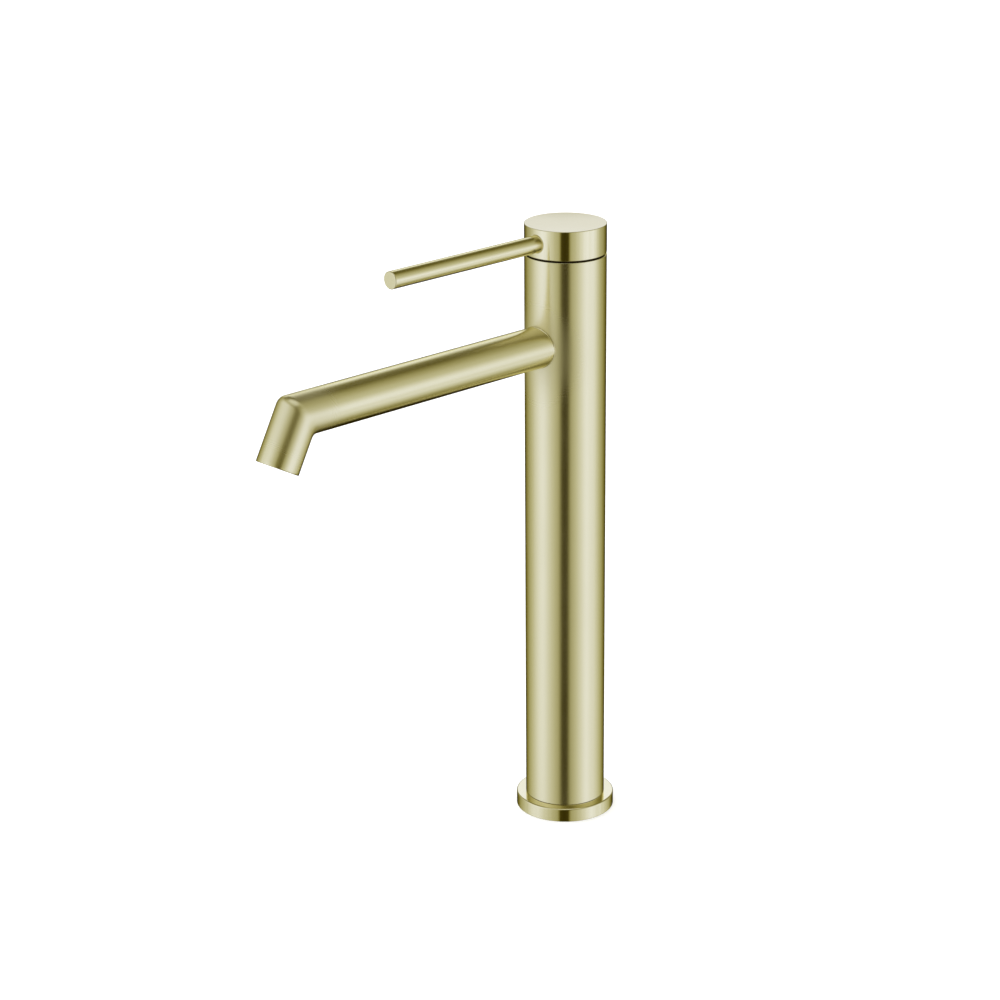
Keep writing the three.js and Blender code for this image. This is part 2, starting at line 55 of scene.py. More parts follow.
# The sizes that the outside is built on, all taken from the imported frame.
column_low, column_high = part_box("column_tube")
flange_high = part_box("base_flange")[1]
cap_low, cap_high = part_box("handle_cap")
lever_low, lever_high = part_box("lever_pin")
spout_low, spout_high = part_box("spout")
COLUMN_R = column_high.x
COLUMN_BORE_R = COLUMN_R - 3 * MM
FLANGE_R = flange_high.x
FLANGE_TOP = flange_high.z
LEVER_R = lever_high.x
LEVER_Z = (lever_low.z + lever_high.z) / 2
SPOUT_R = spout_high.x
SPOUT_WALL = 1.3 * MM
SPOUT_Z = spout_high.z - SPOUT_R
PORT_R = 8.7 * MM  # of the hole in the column and of the spout's narrow root
TIP_FALL = math.radians(61.9)  # below the horizontal
SEAM = 0.3 * MM  # the clearance between touching pieces in the frame
FACE_SEAM = 0.04 * MM  # the same seam as it shows on the finished mixer
CLEAR = 5 * MM  # how far a cutter reaches past the surface that it opens


# Outlines and meshes.


def rounded(corners, loop=False):
    """An outline from [(radius, height, rounding)]: each corner with a rounding becomes an arc."""
    points = []
    count = len(corners)
    for i, (x, z, rounding) in enumerate(corners):
        here = Vector((x, z))
        at_end = not loop and i in (0, count - 1)
        if rounding <= 0 or at_end:
            points.append(here)
            continue
        before = Vector(corners[i - 1][:2]) - here
        after = Vector(corners[(i + 1) % count][:2]) - here
        half = before.angle(after) / 2
        reach = rounding / math.tan(half)
        start = here + before.normalized() * reach
        end = here + after.normalized() * reach
        inward = (before.normalized() + after.normalized()).normalized()
        middle = here + inward * (rounding / math.sin(half))
        first = start - middle
        turn = first.angle_signed(end - middle)
        steps = max(2, round(abs(turn) / ARC_STEP))
        for step in range(steps + 1):
            points.append(middle + Matrix.Rotation(-turn * step / steps, 2) @ first)
    return points


def with_lines(outline, spacing, low, high):
    """Adds points to the upright stretches of an outline, every spacing from low to high."""
    points = []
    for here, after in zip(outline, outline[1:] + outline[:1]):
        points.append(here)
        upright = abs(here[0] - after[0]) < 1e-9 and abs(here[1] - after[1]) > spacing
        if not upright:
            continue
        count = int((high - low) / spacing)
        levels = [low + spacing * k for k in range(count + 1)]
        levels = [z for z in levels if min(here[1], after[1]) < z < max(here[1], after[1])]
        if after[1] < here[1]:
            levels.reverse()
        points.extend(Vector((here[0], z)) for z in levels)
    return points


def mesh_object(name, vertices, faces, uvs=None):
    mesh = bpy.data.meshes.new(name)
    mesh.from_pydata([tuple(v) for v in vertices], [], faces)
    if uvs:
        layer = mesh.uv_layers.new(name="brush")
        for slot, uv in zip(layer.data, (uv for face in uvs for uv in face)):
            slot.uv = uv
    mesh.validate()
    mesh.polygons.foreach_set("use_smooth", [True] * len(mesh.polygons))
    obj = bpy.data.objects.new(name, mesh)
    bpy.context.scene.collection.objects.link(obj)
    return obj


def revolve(name, outline, sides=SIDES, loop=False, place=None):
    """Turns an outline about +Z. The brush UV runs along the outline, in metres, and once round."""
    vertices, rings = [], []
    for radius, height in outline:
        first = len(vertices)
        if radius < 1e-7:
            vertices.append((0, 0, height))
            rings.append([first] * sides)
            continue
        for k in range(sides):
            angle = 2 * math.pi * k / sides
            vertices.append((radius * math.cos(angle), radius * math.sin(angle), height))
        rings.append(list(range(first, first + sides)))
    faces, uvs = [], []
    along = 0.0
    last = len(outline) if loop else len(outline) - 1
    for i in range(last):
        j = (i + 1) % len(outline)
        further = along + (Vector(outline[j]) - Vector(outline[i])).length
        for k in range(sides):
            n = (k + 1) % sides
            corners = [(rings[i][k], along, k), (rings[i][n], along, k + 1)]
            corners += [(rings[j][n], further, k + 1), (rings[j][k], further, k)]
            kept = []
            for corner in corners:
                if corner[0] not in [c[0] for c in kept]:
                    kept.append(corner)
            faces.append([c[0] for c in kept])
            uvs.append([(c[1], c[2] / sides) for c in kept])
        along = further
    obj = mesh_object(name, vertices, faces, uvs)
    if place is not None:
        obj.data.transform(place)
    return obj


def skin(name, rows):
    """Joins rows of points, each a closed loop, into a closed skin. Its brush UV is as revolve's."""
    turns, count = len(rows), len(rows[0])
    vertices = [point for row in rows for point in row]
    sample = rows[turns // 4]
    runs = [0.0]
    for i in range(count):
        runs.append(runs[-1] + (sample[(i + 1) % count] - sample[i]).length)
    faces, uvs = [], []
    for k in range(turns):
        n = (k + 1) % turns
        for i in range(count):
            j = (i + 1) % count
            faces.append([k * count + i, k * count + j, n * count + j, n * count + i])
            here, there = runs[i], runs[i + 1]
            first, second = k / turns, (k + 1) / turns
            uvs.append([(here, first), (there, first), (there, second), (here, second)])
    return mesh_object(name, vertices, faces, uvs)


def aimed(direction, start):
    """The matrix that turns +Z to a direction and moves the origin to start."""
    turn = Vector((0, 0, 1)).rotation_difference(direction).to_matrix().to_4x4()
    return Matrix.Translation(start) @ turn


def carve(obj, *cutters):
    """Cuts the cutters out of obj's mesh and removes them."""
    for cutter in cutters:
        change = obj.modifiers.new("cut", "BOOLEAN")
        change.operation = "DIFFERENCE"
        change.solver = "EXACT"
        change.object = cutter
    bake_modifiers(obj)
    for cutter in cutters:
        bpy.data.objects.remove(cutter)


def bake_modifiers(obj):
    depsgraph = bpy.context.evaluated_depsgraph_get()
    mesh = bpy.data.meshes.new_from_object(obj.evaluated_get(depsgraph))
    obj.modifiers.clear()
    obj.data = mesh


def hold_normals(obj):
    """Keeps the large faces flat beside their rounded edges."""
    weighted = obj.modifiers.new("normals", "WEIGHTED_NORMAL")
    weighted.mode = "FACE_AREA"
    weighted.weight = 80
    weighted.keep_sharp = True


def sharpen(obj, degrees=40):
    obj.data.set_sharp_from_angle(angle=math.radians(degrees))


def rod(name, radius, bottom, top, place=None, sides=FEW_SIDES):
    return revolve(name, [(0, bottom), (radius, bottom), (radius, top), (0, top)], sides, place=place)


def thread_cutter(name, minor, major, pitch, top, place):
    """The shape of a tapped hole that opens at z = 0 with a chamfer."""
    mouth = major + 0.3 * MM
    start = mouth - minor
    outline = [(0, -MM), (mouth, -MM), (mouth, 0), (minor, start)]
    for turn in range(int((top - start) / pitch)):
        low = start + turn * pitch
        outline += [(major, low + pitch / 2), (minor, low + pitch)]
    return revolve(name, outline + [(minor, top), (0, top)], 64, place=place)


# Shader nodes.


class Nodes:
    """A short way to add nodes to a tree and link them."""

    def __init__(self, tree):
        self.tree = tree

    def add(self, kind, inputs=None, **settings):
        node = self.tree.nodes.new(kind)
        for key, value in settings.items():
            setattr(node, key, value)
        for key, value in (inputs or {}).items():
            self.feed(node.inputs[key], value)
        return node

    def feed(self, socket, value):
        if isinstance(value, bpy.types.NodeSocket):
            self.tree.links.new(value, socket)
        else:
            socket.default_value = value

    def math(self, operation, a, b=0.0):
        return self.add("ShaderNodeMath", {0: a, 1: b}, operation=operation).outputs[0]

    def spread(self, value, low, high, new_low, new_high):
        """Maps low..high to new_low..new_high, smoothly and within the limits."""
        inputs = {"Value": value, "From Min": low, "From Max": high}
        inputs.update({"To Min": new_low, "To Max": new_high})
        return self.add("ShaderNodeMapRange", inputs, interpolation_type="SMOOTHSTEP").outputs[0]

    def combine(self, x, y, z):
        return self.add("ShaderNodeCombineXYZ", {"X": x, "Y": y, "Z": z}).outputs[0]

    def noise(self, vector, scale, detail=3.0, roughness=0.55):
        inputs = {"Vector": vector, "Scale": scale, "Detail": detail, "Roughness": roughness}
        return self.add("ShaderNodeTexNoise", inputs).outputs["Fac"]

    def mix_colour(self, factor, a, b):
        node = self.add("ShaderNodeMix", data_type="RGBA")
        for socket, value in ((0, factor), (6, a), (7, b)):
            self.feed(node.inputs[socket], value)
        return node.outputs[2]

    def ramp(self, factor, stops):
        """Grey levels at [(position, value)], with smooth steps between them."""
        node = self.add("ShaderNodeValToRGB", {"Fac": factor})
        node.color_ramp.interpolation = "EASE"
        elements = node.color_ramp.elements
        while len(elements) < len(stops):
            elements.new(0.5)
        for element, (position, _) in zip(elements, stops):
            element.position = position
        for element, (_, value) in zip(elements, stops):
            element.color = (value, value, value, 1)
        return node.outputs["Color"]


def new_material(name):
    material = bpy.data.materials.new(name)
    material.use_nodes = True
    material.node_tree.nodes.clear()
    nodes = Nodes(material.node_tree)
    shader = nodes.add("ShaderNodeBsdfPrincipled")
    nodes.add("ShaderNodeOutputMaterial", {"Surface": shader.outputs[0]})
    return material, nodes, shader


def shade(colour, factor):
    return tuple(min(1.0, c * factor) for c in colour) + (1.0,)


def add_bump(nodes, shader, height, depth, strength):
    bump = nodes.add("ShaderNodeBump", {"Height": height, "Distance": depth, "Strength": strength})
    nodes.feed(shader.inputs["Normal"], bump.outputs[0])


GOLD = (0.80, 0.75, 0.50)
EDGE_TINT = (0.90, 0.86, 0.52)  # of the light that the gold reflects at a glancing angle
LINES_PER_METRE = 6000.0  # of brushing; coarser ones show as scratches from a normal distance


def brushed_gold(name, roughness=0.2, anisotropy=0.5, joint=None, crown=0.0, tint=EDGE_TINT):
    """Champagne-gold plating over fine lines that run round each piece, across its outline.

    Joint is where the metal is blended by hand and rougher: (middle, near, far, extra roughness), which
    fades from the near distance to the far one.
    Crown is how fast the polish of a flat top leans outward, in radians per metre from the axis.
    """
    material, nodes, shader = new_material(name)
    outline = nodes.add("ShaderNodeUVMap", uv_map="brush").outputs[0]
    run = nodes.add("ShaderNodeSeparateXYZ", {"Vector": outline}).outputs["X"]
    place = nodes.add("ShaderNodeTexCoord").outputs["Object"]
    lines_across = nodes.math("MULTIPLY", run, LINES_PER_METRE)
    drift = nodes.add("ShaderNodeVectorMath", {0: place, "Scale": 14.0}, operation="SCALE").outputs[0]
    line_shift = nodes.combine(lines_across, 0.0, 0.0)
    vector = nodes.add("ShaderNodeVectorMath", {0: drift, 1: line_shift}, operation="ADD").outputs[0]
    lines = nodes.noise(vector, 1.0, 4.0, 0.7)
    clouds = nodes.noise(place, 22.0, 2.0)
    lined_colour = nodes.mix_colour(lines, shade(GOLD, 0.98), shade(GOLD, 1.02))
    cloudy = nodes.spread(clouds, 0.3, 0.7, 0.0, 0.7)
    nodes.feed(shader.inputs["Base Color"], nodes.mix_colour(cloudy, lined_colour, shade(GOLD, 1.0)))
    lined = nodes.spread(lines, 0.25, 0.75, roughness * 0.97, roughness * 1.13)
    worn = nodes.spread(clouds, 0.35, 0.7, -0.06 * roughness, 0.09 * roughness)
    rough = nodes.math("ADD", lined, worn)
    if joint:
        middle, near, far, extra = joint
        away = nodes.add("ShaderNodeVectorMath", {0: place, 1: middle}, operation="DISTANCE")
        blended = nodes.spread(away.outputs["Value"], near, far, extra, 0.0)
        rough = nodes.math("ADD", rough, blended)
    nodes.feed(shader.inputs["Roughness"], rough)
    shader.inputs["Metallic"].default_value = 1.0
    shader.inputs["Anisotropic"].default_value = anisotropy
    shader.inputs["Specular Tint"].default_value = tint + (1,)
    tangent = nodes.add("ShaderNodeTangent", direction_type="UV_MAP", uv_map="brush")
    nodes.feed(shader.inputs["Tangent"], tangent.outputs[0])
    add_bump(nodes, shader, lines, 0.004 * MM, 0.2)
    if crown:
        spot = nodes.add("ShaderNodeSeparateXYZ", {"Vector": place}).outputs
        across, ahead = nodes.math("POWER", spot["X"], 2.0), nodes.math("POWER", spot["Y"], 2.0)
        dome = nodes.math("MULTIPLY", nodes.math("ADD", across, ahead), -crown / 2)
        bump = shader.inputs["Normal"].links[0].from_node
        below = nodes.add("ShaderNodeBump", {"Height": dome, "Distance": 1.0, "Strength": 1.0})
        nodes.feed(bump.inputs["Normal"], below.outputs[0])
    return material


def machined_metal(name, colour, roughness, pitch, drift_scale=40.0):
    """Bare metal with turning marks across Z and slight dulling."""
    material, nodes, shader = new_material(name)
    place = nodes.add("ShaderNodeTexCoord").outputs["Object"]
    parts = nodes.add("ShaderNodeSeparateXYZ", {"Vector": place}).outputs
    x = nodes.math("MULTIPLY", parts["X"], drift_scale)
    y = nodes.math("MULTIPLY", parts["Y"], drift_scale)
    z = nodes.math("MULTIPLY", parts["Z"], 1.0 / pitch)
    marks = nodes.noise(nodes.combine(x, y, z), 1.0, 3.0, 0.6)
    tarnish = nodes.noise(place, 90.0, 5.0, 0.6)
    base = nodes.mix_colour(marks, shade(colour, 0.9), shade(colour, 1.06))
    dull = nodes.spread(tarnish, 0.5, 0.75, 0.0, 0.45)
    nodes.feed(shader.inputs["Base Color"], nodes.mix_colour(dull, base, shade(colour, 0.66)))
    nodes.feed(shader.inputs["Roughness"], nodes.spread(tarnish, 0.3, 0.75, roughness, roughness + 0.18))
    shader.inputs["Metallic"].default_value = 1.0
    add_bump(nodes, shader, marks, 0.01 * MM, 0.6)
    return material


def moulded(name, colour, roughness, grain, depth, specular=0.5):
    """Plastic, rubber or ceramic with a fine surface grain and faint mottling."""
    material, nodes, shader = new_material(name)
    place = nodes.add("ShaderNodeTexCoord").outputs["Object"]
    fine = nodes.noise(place, 1.0 / grain, 2.0, 0.5)
    mottle = nodes.noise(place, 120.0, 3.0)
    mottled = nodes.mix_colour(mottle, shade(colour, 0.88), shade(colour, 1.1))
    uneven = nodes.spread(mottle, 0.3, 0.7, roughness - 0.05, roughness + 0.07)
    nodes.feed(shader.inputs["Base Color"], mottled)
    nodes.feed(shader.inputs["Roughness"], uneven)
    shader.inputs["Specular IOR Level"].default_value = specular
    add_bump(nodes, shader, fine, depth, 0.7)
    return material


# One material for each slot but the gold, whose pieces have their own.
materials = {
    "raw_brass": machined_metal("raw_brass", (0.78, 0.60, 0.27), 0.28, 0.25 * MM),
    "copper": machined_metal("copper", (0.80, 0.42, 0.26), 0.3, 3.0 * MM, 900.0),
    "steel": machined_metal("steel", (0.66, 0.66, 0.67), 0.25, 0.2 * MM),
    "seal_rubber": moulded("seal_rubber", (0.018, 0.018, 0.019), 0.62, 0.12 * MM, 0.02 * MM, 0.35),
    "black_plastic": moulded("black_plastic", (0.042, 0.027, 0.004), 0.42, 0.2 * MM, 0.01 * MM, 0.15),
    "grey_plastic": moulded("grey_plastic", (0.42, 0.43, 0.45), 0.42, 0.2 * MM, 0.01 * MM),
    "white_plastic": moulded("white_plastic", (0.80, 0.80, 0.77), 0.4, 0.2 * MM, 0.01 * MM),
    "disc_ceramic": moulded("disc_ceramic", (0.86, 0.85, 0.81), 0.16, 0.4 * MM, 0.002 * MM, 0.6),
}
# The column is blended round the spout's root, a little further below it than above.
spout_joint = ((0, -COLUMN_R, SPOUT_Z - 3.5 * MM), 6 * MM, 32 * MM, 0.19)
column_gold = brushed_gold("brushed_gold_column", 0.225, 0.5, joint=spout_joint)
lever_gold = brushed_gold("brushed_gold_lever", 0.14, 0.75)
cap_gold = brushed_gold("brushed_gold_cap", 0.10, 0.75, crown=1.5, tint=(0.93, 0.91, 0.86))
plug_gold = brushed_gold("brushed_gold_plug", 0.12, 0.75)
flange_gold = brushed_gold("brushed_gold_flange", 0.085, 0.7, tint=(0.88, 0.85, 0.62))

slot_of = {part["node"]: part["material_slot"] for part in frame["record"]["subparts"]}
body_of = {node: body for body, nodes in frame["record"]["behaviour"]["bodies"].items() for node in nodes}


def finish_piece(obj, *nodes, material=None):
    """Gives a piece its material and normals, and lets it stand for its CAD nodes on their body."""
    slot = slot_of[nodes[0]]
    obj.data.materials.clear()
    obj.data.materials.append(material or materials[slot])
    hold_normals(obj)
    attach(obj, body_of[nodes[0]])
    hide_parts(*nodes)


# The outside.


def make_column():
    bottom = column_low.z - SEAM + FACE_SEAM
    corners = [
        (COLUMN_BORE_R, bottom, 0),
        (COLUMN_R, bottom, 0.4 * MM),
        (COLUMN_R, column_high.z, 0.2 * MM),
        (COLUMN_BORE_R, column_high.z, 0.2 * MM),
    ]
    column = revolve("column", rounded(corners, True), loop=True)
    port = rod("port", PORT_R, 0, COLUMN_R + CLEAR, aimed(OUTWARD, Vector((0, 0, SPOUT_Z))))
    carve(column, port)
    sharpen(column)
    finish_piece(column, "column_tube", material=column_gold)


def make_flange():
    edge = 0.8 * MM
    groove_in, groove_out, groove_top = 21.0 * MM, 24.3 * MM, 1.8 * MM
    corners = [
        (COLUMN_BORE_R, 0, 0.2 * MM),
        (groove_in, 0, 0.1 * MM),
        (groove_in, groove_top, 0),
        (groove_out, groove_top, 0),
        (groove_out, 0, 0.1 * MM),
        (FLANGE_R, 0, 0.25 * MM),
        (FLANGE_R, FLANGE_TOP, edge),
        (COLUMN_BORE_R, FLANGE_TOP, 0.2 * MM),
    ]
    flange = revolve("flange", rounded(corners, True), loop=True)
    finish_piece(flange, "base_flange", material=flange_gold)
    flange.visible_glossy = False  # the brushed column doesn't show its reflection


def make_gasket():
    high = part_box("base_gasket")[1]
    inner, edge = high.x - 2.7 * MM, 0.3 * MM
    corners = [(inner, 0, edge), (high.x, 0, edge), (high.x, high.z, edge), (inner, high.z, edge)]
    finish_piece(revolve("deck_gasket", rounded(corners, True), loop=True), "base_gasket")


def saddle(x, radius):
    """How far forward a column of that radius reaches, at that distance from the middle."""
    return math.sqrt(radius * radius - x * x)


def lever_seat():
    """The hole that the lever stands in, with its mouth rounded over all round the cap's curve."""
    radius, mouth = LEVER_R + 0.12 * MM, 0.45 * MM
    core, floor, outside = 0.5 * MM, 20 * MM, 25 * MM
    rows = []
    for k in range(FEW_SIDES):
        angle = 2 * math.pi * k / FEW_SIDES
        across, up = math.sin(angle), math.cos(angle)
        row = [(core, floor), (radius, floor)]
        for turn in (0, 15, 30, 45, 60, 75):
            out = mouth * (1 - math.cos(math.radians(turn)))
            sunk = mouth * (1 - math.sin(math.radians(turn)))
            row.append((radius + out, saddle((radius + out) * across, COLUMN_R) - sunk))
        wide = radius + 2 * mouth
        row += [(wide, saddle(wide * across, COLUMN_R) + 0.3 * MM), (wide, outside), (core, outside)]
        rows.append([Vector((r * across, -y, LEVER_Z + r * up)) for r, y in row])
    return skin("lever_seat", rows)


def make_cap():
    relief_r, relief_top = 16.2 * MM, cap_low.z + 3 * MM
    socket_r, socket_top = 4.3 * MM, 318.5 * MM
    corners = [
        (0, socket_top, 0),
        (socket_r, socket_top, 0.2 * MM),
        (socket_r, relief_top, 0.3 * MM),
        (relief_r, relief_top, 0.3 * MM),
        (relief_r, cap_low.z, 0.15 * MM),
        (COLUMN_R, cap_low.z, 0.3 * MM),
        (COLUMN_R, cap_high.z, 0.35 * MM),
        (0, cap_high.z, 0),
    ]
    # The lines keep the faces round the lever's hole small, so that its edge stays clean.
    outline = with_lines(rounded(corners), 0.6 * MM, cap_low.z, cap_high.z)
    cap = revolve("cap", outline, 256)
    front = aimed(OUTWARD, Vector((0, 0, LEVER_Z)))
    back = aimed(-OUTWARD, Vector((0, 0, LEVER_Z)))
    lever_thread_r, screw_thread_r, plug_seat_r = 3.15 * MM, 2.3 * MM, 2.85 * MM
    outside = COLUMN_R + CLEAR
    carve(
        cap,
        lever_seat(),
        rod("lever_thread", lever_thread_r, 7.5 * MM, outside, front, 48),
        rod("screw_thread", screw_thread_r, 1 * MM, COLUMN_R, back, 48),
        rod("plug_seat", plug_seat_r, 17 * MM, outside, back, 64),
    )
    sharpen(cap)
    finish_piece(cap, "handle_cap", material=cap_gold)


def make_lever():
    edge = 0.5 * MM
    reach, tail = -lever_low.y, -lever_high.y
    shoulder = 20.05 * MM
    tail_r = 2.85 * MM
    corners = [
        (0, tail, 0),
        (tail_r, tail, 0.3 * MM),
        (tail_r, shoulder, 0),
        (LEVER_R, shoulder, 0.2 * MM),
        (LEVER_R, reach, edge),
        (0, reach, 0),
    ]
    lever = revolve("lever", rounded(corners), FEW_SIDES, place=aimed(OUTWARD, Vector((0, 0, LEVER_Z))))
    finish_piece(lever, "lever_pin", material=lever_gold)
    lever.visible_glossy = False  # the brushed metal doesn't show its reflection


def make_plug():
    low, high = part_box("screw_plug")
    radius = high.x
    crown = 0.15 * MM
    corners = [
        (0, low.y, 0),
        (radius, low.y, 0.1 * MM),
        (radius, high.y - crown, 0.3 * MM),
        (radius * 0.5, high.y - crown * 0.3, 1.0 * MM),
        (0, high.y, 0),
    ]
    plug = revolve("index_plug", rounded(corners), 64, place=aimed(-OUTWARD, Vector((0, 0, LEVER_Z))))
    finish_piece(plug, "screw_plug", material=plug_gold)


def make_glide_ring():
    low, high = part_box("glide_ring")
    inner, body_r = 15.6 * MM, 17.6 * MM
    step = column_high.z + SEAM
    corners = [
        (inner, low.z, 0.2 * MM),
        (body_r, low.z, 0.2 * MM),
        (body_r, step, 0),
        (high.x, step, 0.1 * MM),
        (high.x, high.z, 0.1 * MM),
        (inner, high.z, 0.1 * MM),
    ]
    finish_piece(revolve("cap_glide_ring", rounded(corners, True), loop=True), "glide_ring")


# The spout. Each line along the tube keeps its own x and rise, so the mitre is a true one.

TIP = Vector((0, -math.cos(TIP_FALL), -math.sin(TIP_FALL)))
TIP_UP = Vector((0, -math.sin(TIP_FALL), math.cos(TIP_FALL)))
# The mitre and the outlet, from the two lowest points of the spout's box.
OUTLET = Vector((0, spout_low.y, spout_low.z))
OUTLET += Vector((0, math.sin(TIP_FALL), math.cos(TIP_FALL))) * SPOUT_R
TIP_LENGTH = (SPOUT_Z - OUTLET.z) / math.sin(TIP_FALL)
BEND = OUTLET - TIP * TIP_LENGTH


def bent_line(side, rise, mitre_rounding, start):
    """Points from start to the outlet along one line of the tube, with the mitre's corner rounded."""
    corner = Vector((side, BEND.y - rise * math.tan(TIP_FALL / 2), SPOUT_Z + rise))
    reach = mitre_rounding * math.tan(TIP_FALL / 2)
    end = Vector((side, 0, 0)) + OUTLET + TIP_UP * rise
    steps = 8
    centre = corner - OUTWARD * reach - Vector((0, 0, mitre_rounding))
    arc = []
    for step in range(steps + 1):
        angle = TIP_FALL * step / steps
        ahead, up = mitre_rounding * math.sin(angle), mitre_rounding * math.cos(angle)
        arc.append(centre + OUTWARD * ahead + Vector((0, 0, up)))
    straight = []
    for t in (0.02, 0.35, 0.7, 0.97):
        reached = start + (-arc[0].y - start) * t
        straight.append(Vector((side, -reached, SPOUT_Z + rise)))
    tip = [arc[-1].lerp(end, t) for t in (0.05, 0.5, 0.94)]
    return straight + arc + tip, end


def make_spout():
    inner_r = SPOUT_R - SPOUT_WALL
    bead = 0.32 * MM  # radius of the half-round bead along the root
    rim = 0.4 * MM
    outer_mitre, inner_mitre = 4.5 * MM, 3.0 * MM
    bore_start = 35 * MM  # where the narrow root widens to the tube's bore
    column_face = COLUMN_R + FACE_SEAM
    rows = []
    for k in range(SIDES):
        angle = 2 * math.pi * k / SIDES
        across, up = math.sin(angle), math.cos(angle)
        line = []
        for turn in range(0, 181, 30):
            radius = SPOUT_R + bead * math.sin(math.radians(turn))
            ahead = bead * (1 - math.cos(math.radians(turn)))
            side, rise = radius * across, radius * up
            line.append(Vector((side, -(saddle(side, column_face) + ahead), SPOUT_Z + rise)))
        side, rise = SPOUT_R * across, SPOUT_R * up
        outer, end = bent_line(side, rise, outer_mitre, saddle(side, column_face) + 2 * bead)
        line += outer
        radial = Vector((across, 0, 0)) + TIP_UP * up
        line.append(end - TIP * rim)
        line.append(end - TIP * rim * 0.3 - radial * rim * 0.3)
        line.append(end - radial * rim)
        line.append(end - radial * (SPOUT_WALL - rim))
        line.append(end - TIP * rim * 0.3 - radial * (SPOUT_WALL - rim * 0.3))
        line.append(end - TIP * rim - radial * SPOUT_WALL)
        side, rise = inner_r * across, inner_r * up
        inner, _ = bent_line(side, rise, inner_mitre, bore_start)
        line += reversed(inner)
        side, rise = PORT_R * across, PORT_R * up
        line.append(Vector((side, -bore_start, SPOUT_Z + rise)))
        line.append(Vector((side, -saddle(side, column_face), SPOUT_Z + rise)))
        rows.append(line)
    spout = skin("spout_tube", rows)
    sharpen(spout, 50)
    spout_gold = brushed_gold("brushed_gold_spout", joint=(BEND, 10 * MM, 30 * MM, 0.1))
    finish_piece(spout, "spout", material=spout_gold)


# The aerator, drawn up +Z with its mouth at 0 and turned into the tip.

AERATOR_R = SPOUT_R - SPOUT_WALL - 0.1 * MM
AERATOR_BORE_R = 7.6 * MM
IN_TIP = aimed(TIP, OUTLET)


def make_aerator_housing():
    lip, face, back, far_end = 6.8 * MM, -0.6 * MM, -1.6 * MM, -9 * MM
    corners = [
        (AERATOR_BORE_R, far_end, 0.2 * MM),
        (AERATOR_R, far_end, 0.2 * MM),
        (AERATOR_R, face, 0.3 * MM),
        (lip, face, 0.3 * MM),
        (lip, back, 0.2 * MM),
        (AERATOR_BORE_R, back, 0),
    ]
    cup = revolve("aerator_cup", rounded(corners, True), loop=True, place=IN_TIP)
    notches = []
    for k in range(8):  # for the key
        at = Matrix.Rotation(math.pi * k / 4, 4, "Z") @ Matrix.Translation((lip, 0, 0))
        notches.append(rod("key_notch", 0.75 * MM, back + 0.3 * MM, MM, IN_TIP @ at, 32))
    carve(cup, *notches)
    sharpen(cup)
    finish_piece(cup, "aerator_housing")


def make_aerator_insert():
    radius, low, high = AERATOR_BORE_R - 0.1 * MM, -6.2 * MM, -1.9 * MM
    edge = 0.3 * MM
    outline = rounded([(0, low, 0), (radius, low, edge), (radius, high, edge), (0, high, 0)])
    insert = revolve("aerator_grid", outline, 96, place=IN_TIP)
    pitch, cell_r, grid_r = 1.55 * MM, 0.78 * MM, 6.4 * MM
    holes = []
    for row in range(-4, 5):
        for column in range(-4, 5):
            x, y = pitch * (column + row / 2), pitch * row * math.sqrt(3) / 2
            if math.hypot(x, y) < grid_r:
                place = IN_TIP @ Matrix.Translation((x, y, 0)) @ Matrix.Rotation(math.pi / 6, 4, "Z")
                holes.append(rod("cell", cell_r, low - MM, high + MM, place, 6))
    cells = holes[0]
    with bpy.context.temp_override(active_object=cells, selected_editable_objects=holes):
        bpy.ops.object.join()
    carve(insert, cells)
    sharpen(insert)
    finish_piece(insert, "aerator_insert")


def make_base_block():
    radius = COLUMN_BORE_R - 0.1 * MM
    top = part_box("base_block")[1].z
    edge = 0.6 * MM
    groove_r, groove_low, groove_high = 16.45 * MM, 17.25 * MM, 18.75 * MM
    corners = [
        (0, 0, 0),
        (radius, 0, edge),
        (radius, groove_low, 0.1 * MM),
        (groove_r, groove_low, 0.1 * MM),
        (groove_r, groove_high, 0.1 * MM),
        (radius, groove_high, 0.1 * MM),
        (radius, top, edge),
        (0, top, 0),
    ]
    block = revolve("foot_block", rounded(corners), 128)
    stud_ahead, line_aside, line_behind = 9.5 * MM, 7 * MM, 5 * MM
    stud = Matrix.Translation((0, -stud_ahead, 0))
    cutters = [thread_cutter("stud_thread", 3.4 * MM, 4.0 * MM, 1.25 * MM, 16 * MM, stud)]
    for side in (1, -1):  # cold, hot
        line = Matrix.Translation((side * line_aside, line_behind, 0))
        cutters.append(thread_cutter("inlet_thread", 4.46 * MM, 5.0 * MM, MM, 11 * MM, line))
        cutters.append(rod("passage", 3 * MM, 10 * MM, 15 * MM, line, 48))
        cutters.append(rod("socket", 4.3 * MM, 14 * MM, top + MM, line, 64))
        cutters.append(rod("socket_groove", 5.45 * MM, 21.2 * MM, 22.8 * MM, line, 64))
    carve(block, *cutters)
    sharpen(block, 30)
    finish_piece(block, "base_block")


make_column()
make_flange()
make_gasket()
make_cap()
make_lever()
make_plug()
make_glide_ring()
make_spout()
make_aerator_housing()
make_aerator_insert()
make_base_block()


# The CAD nodes that stay keep their shape, with smooth shading across their facets.


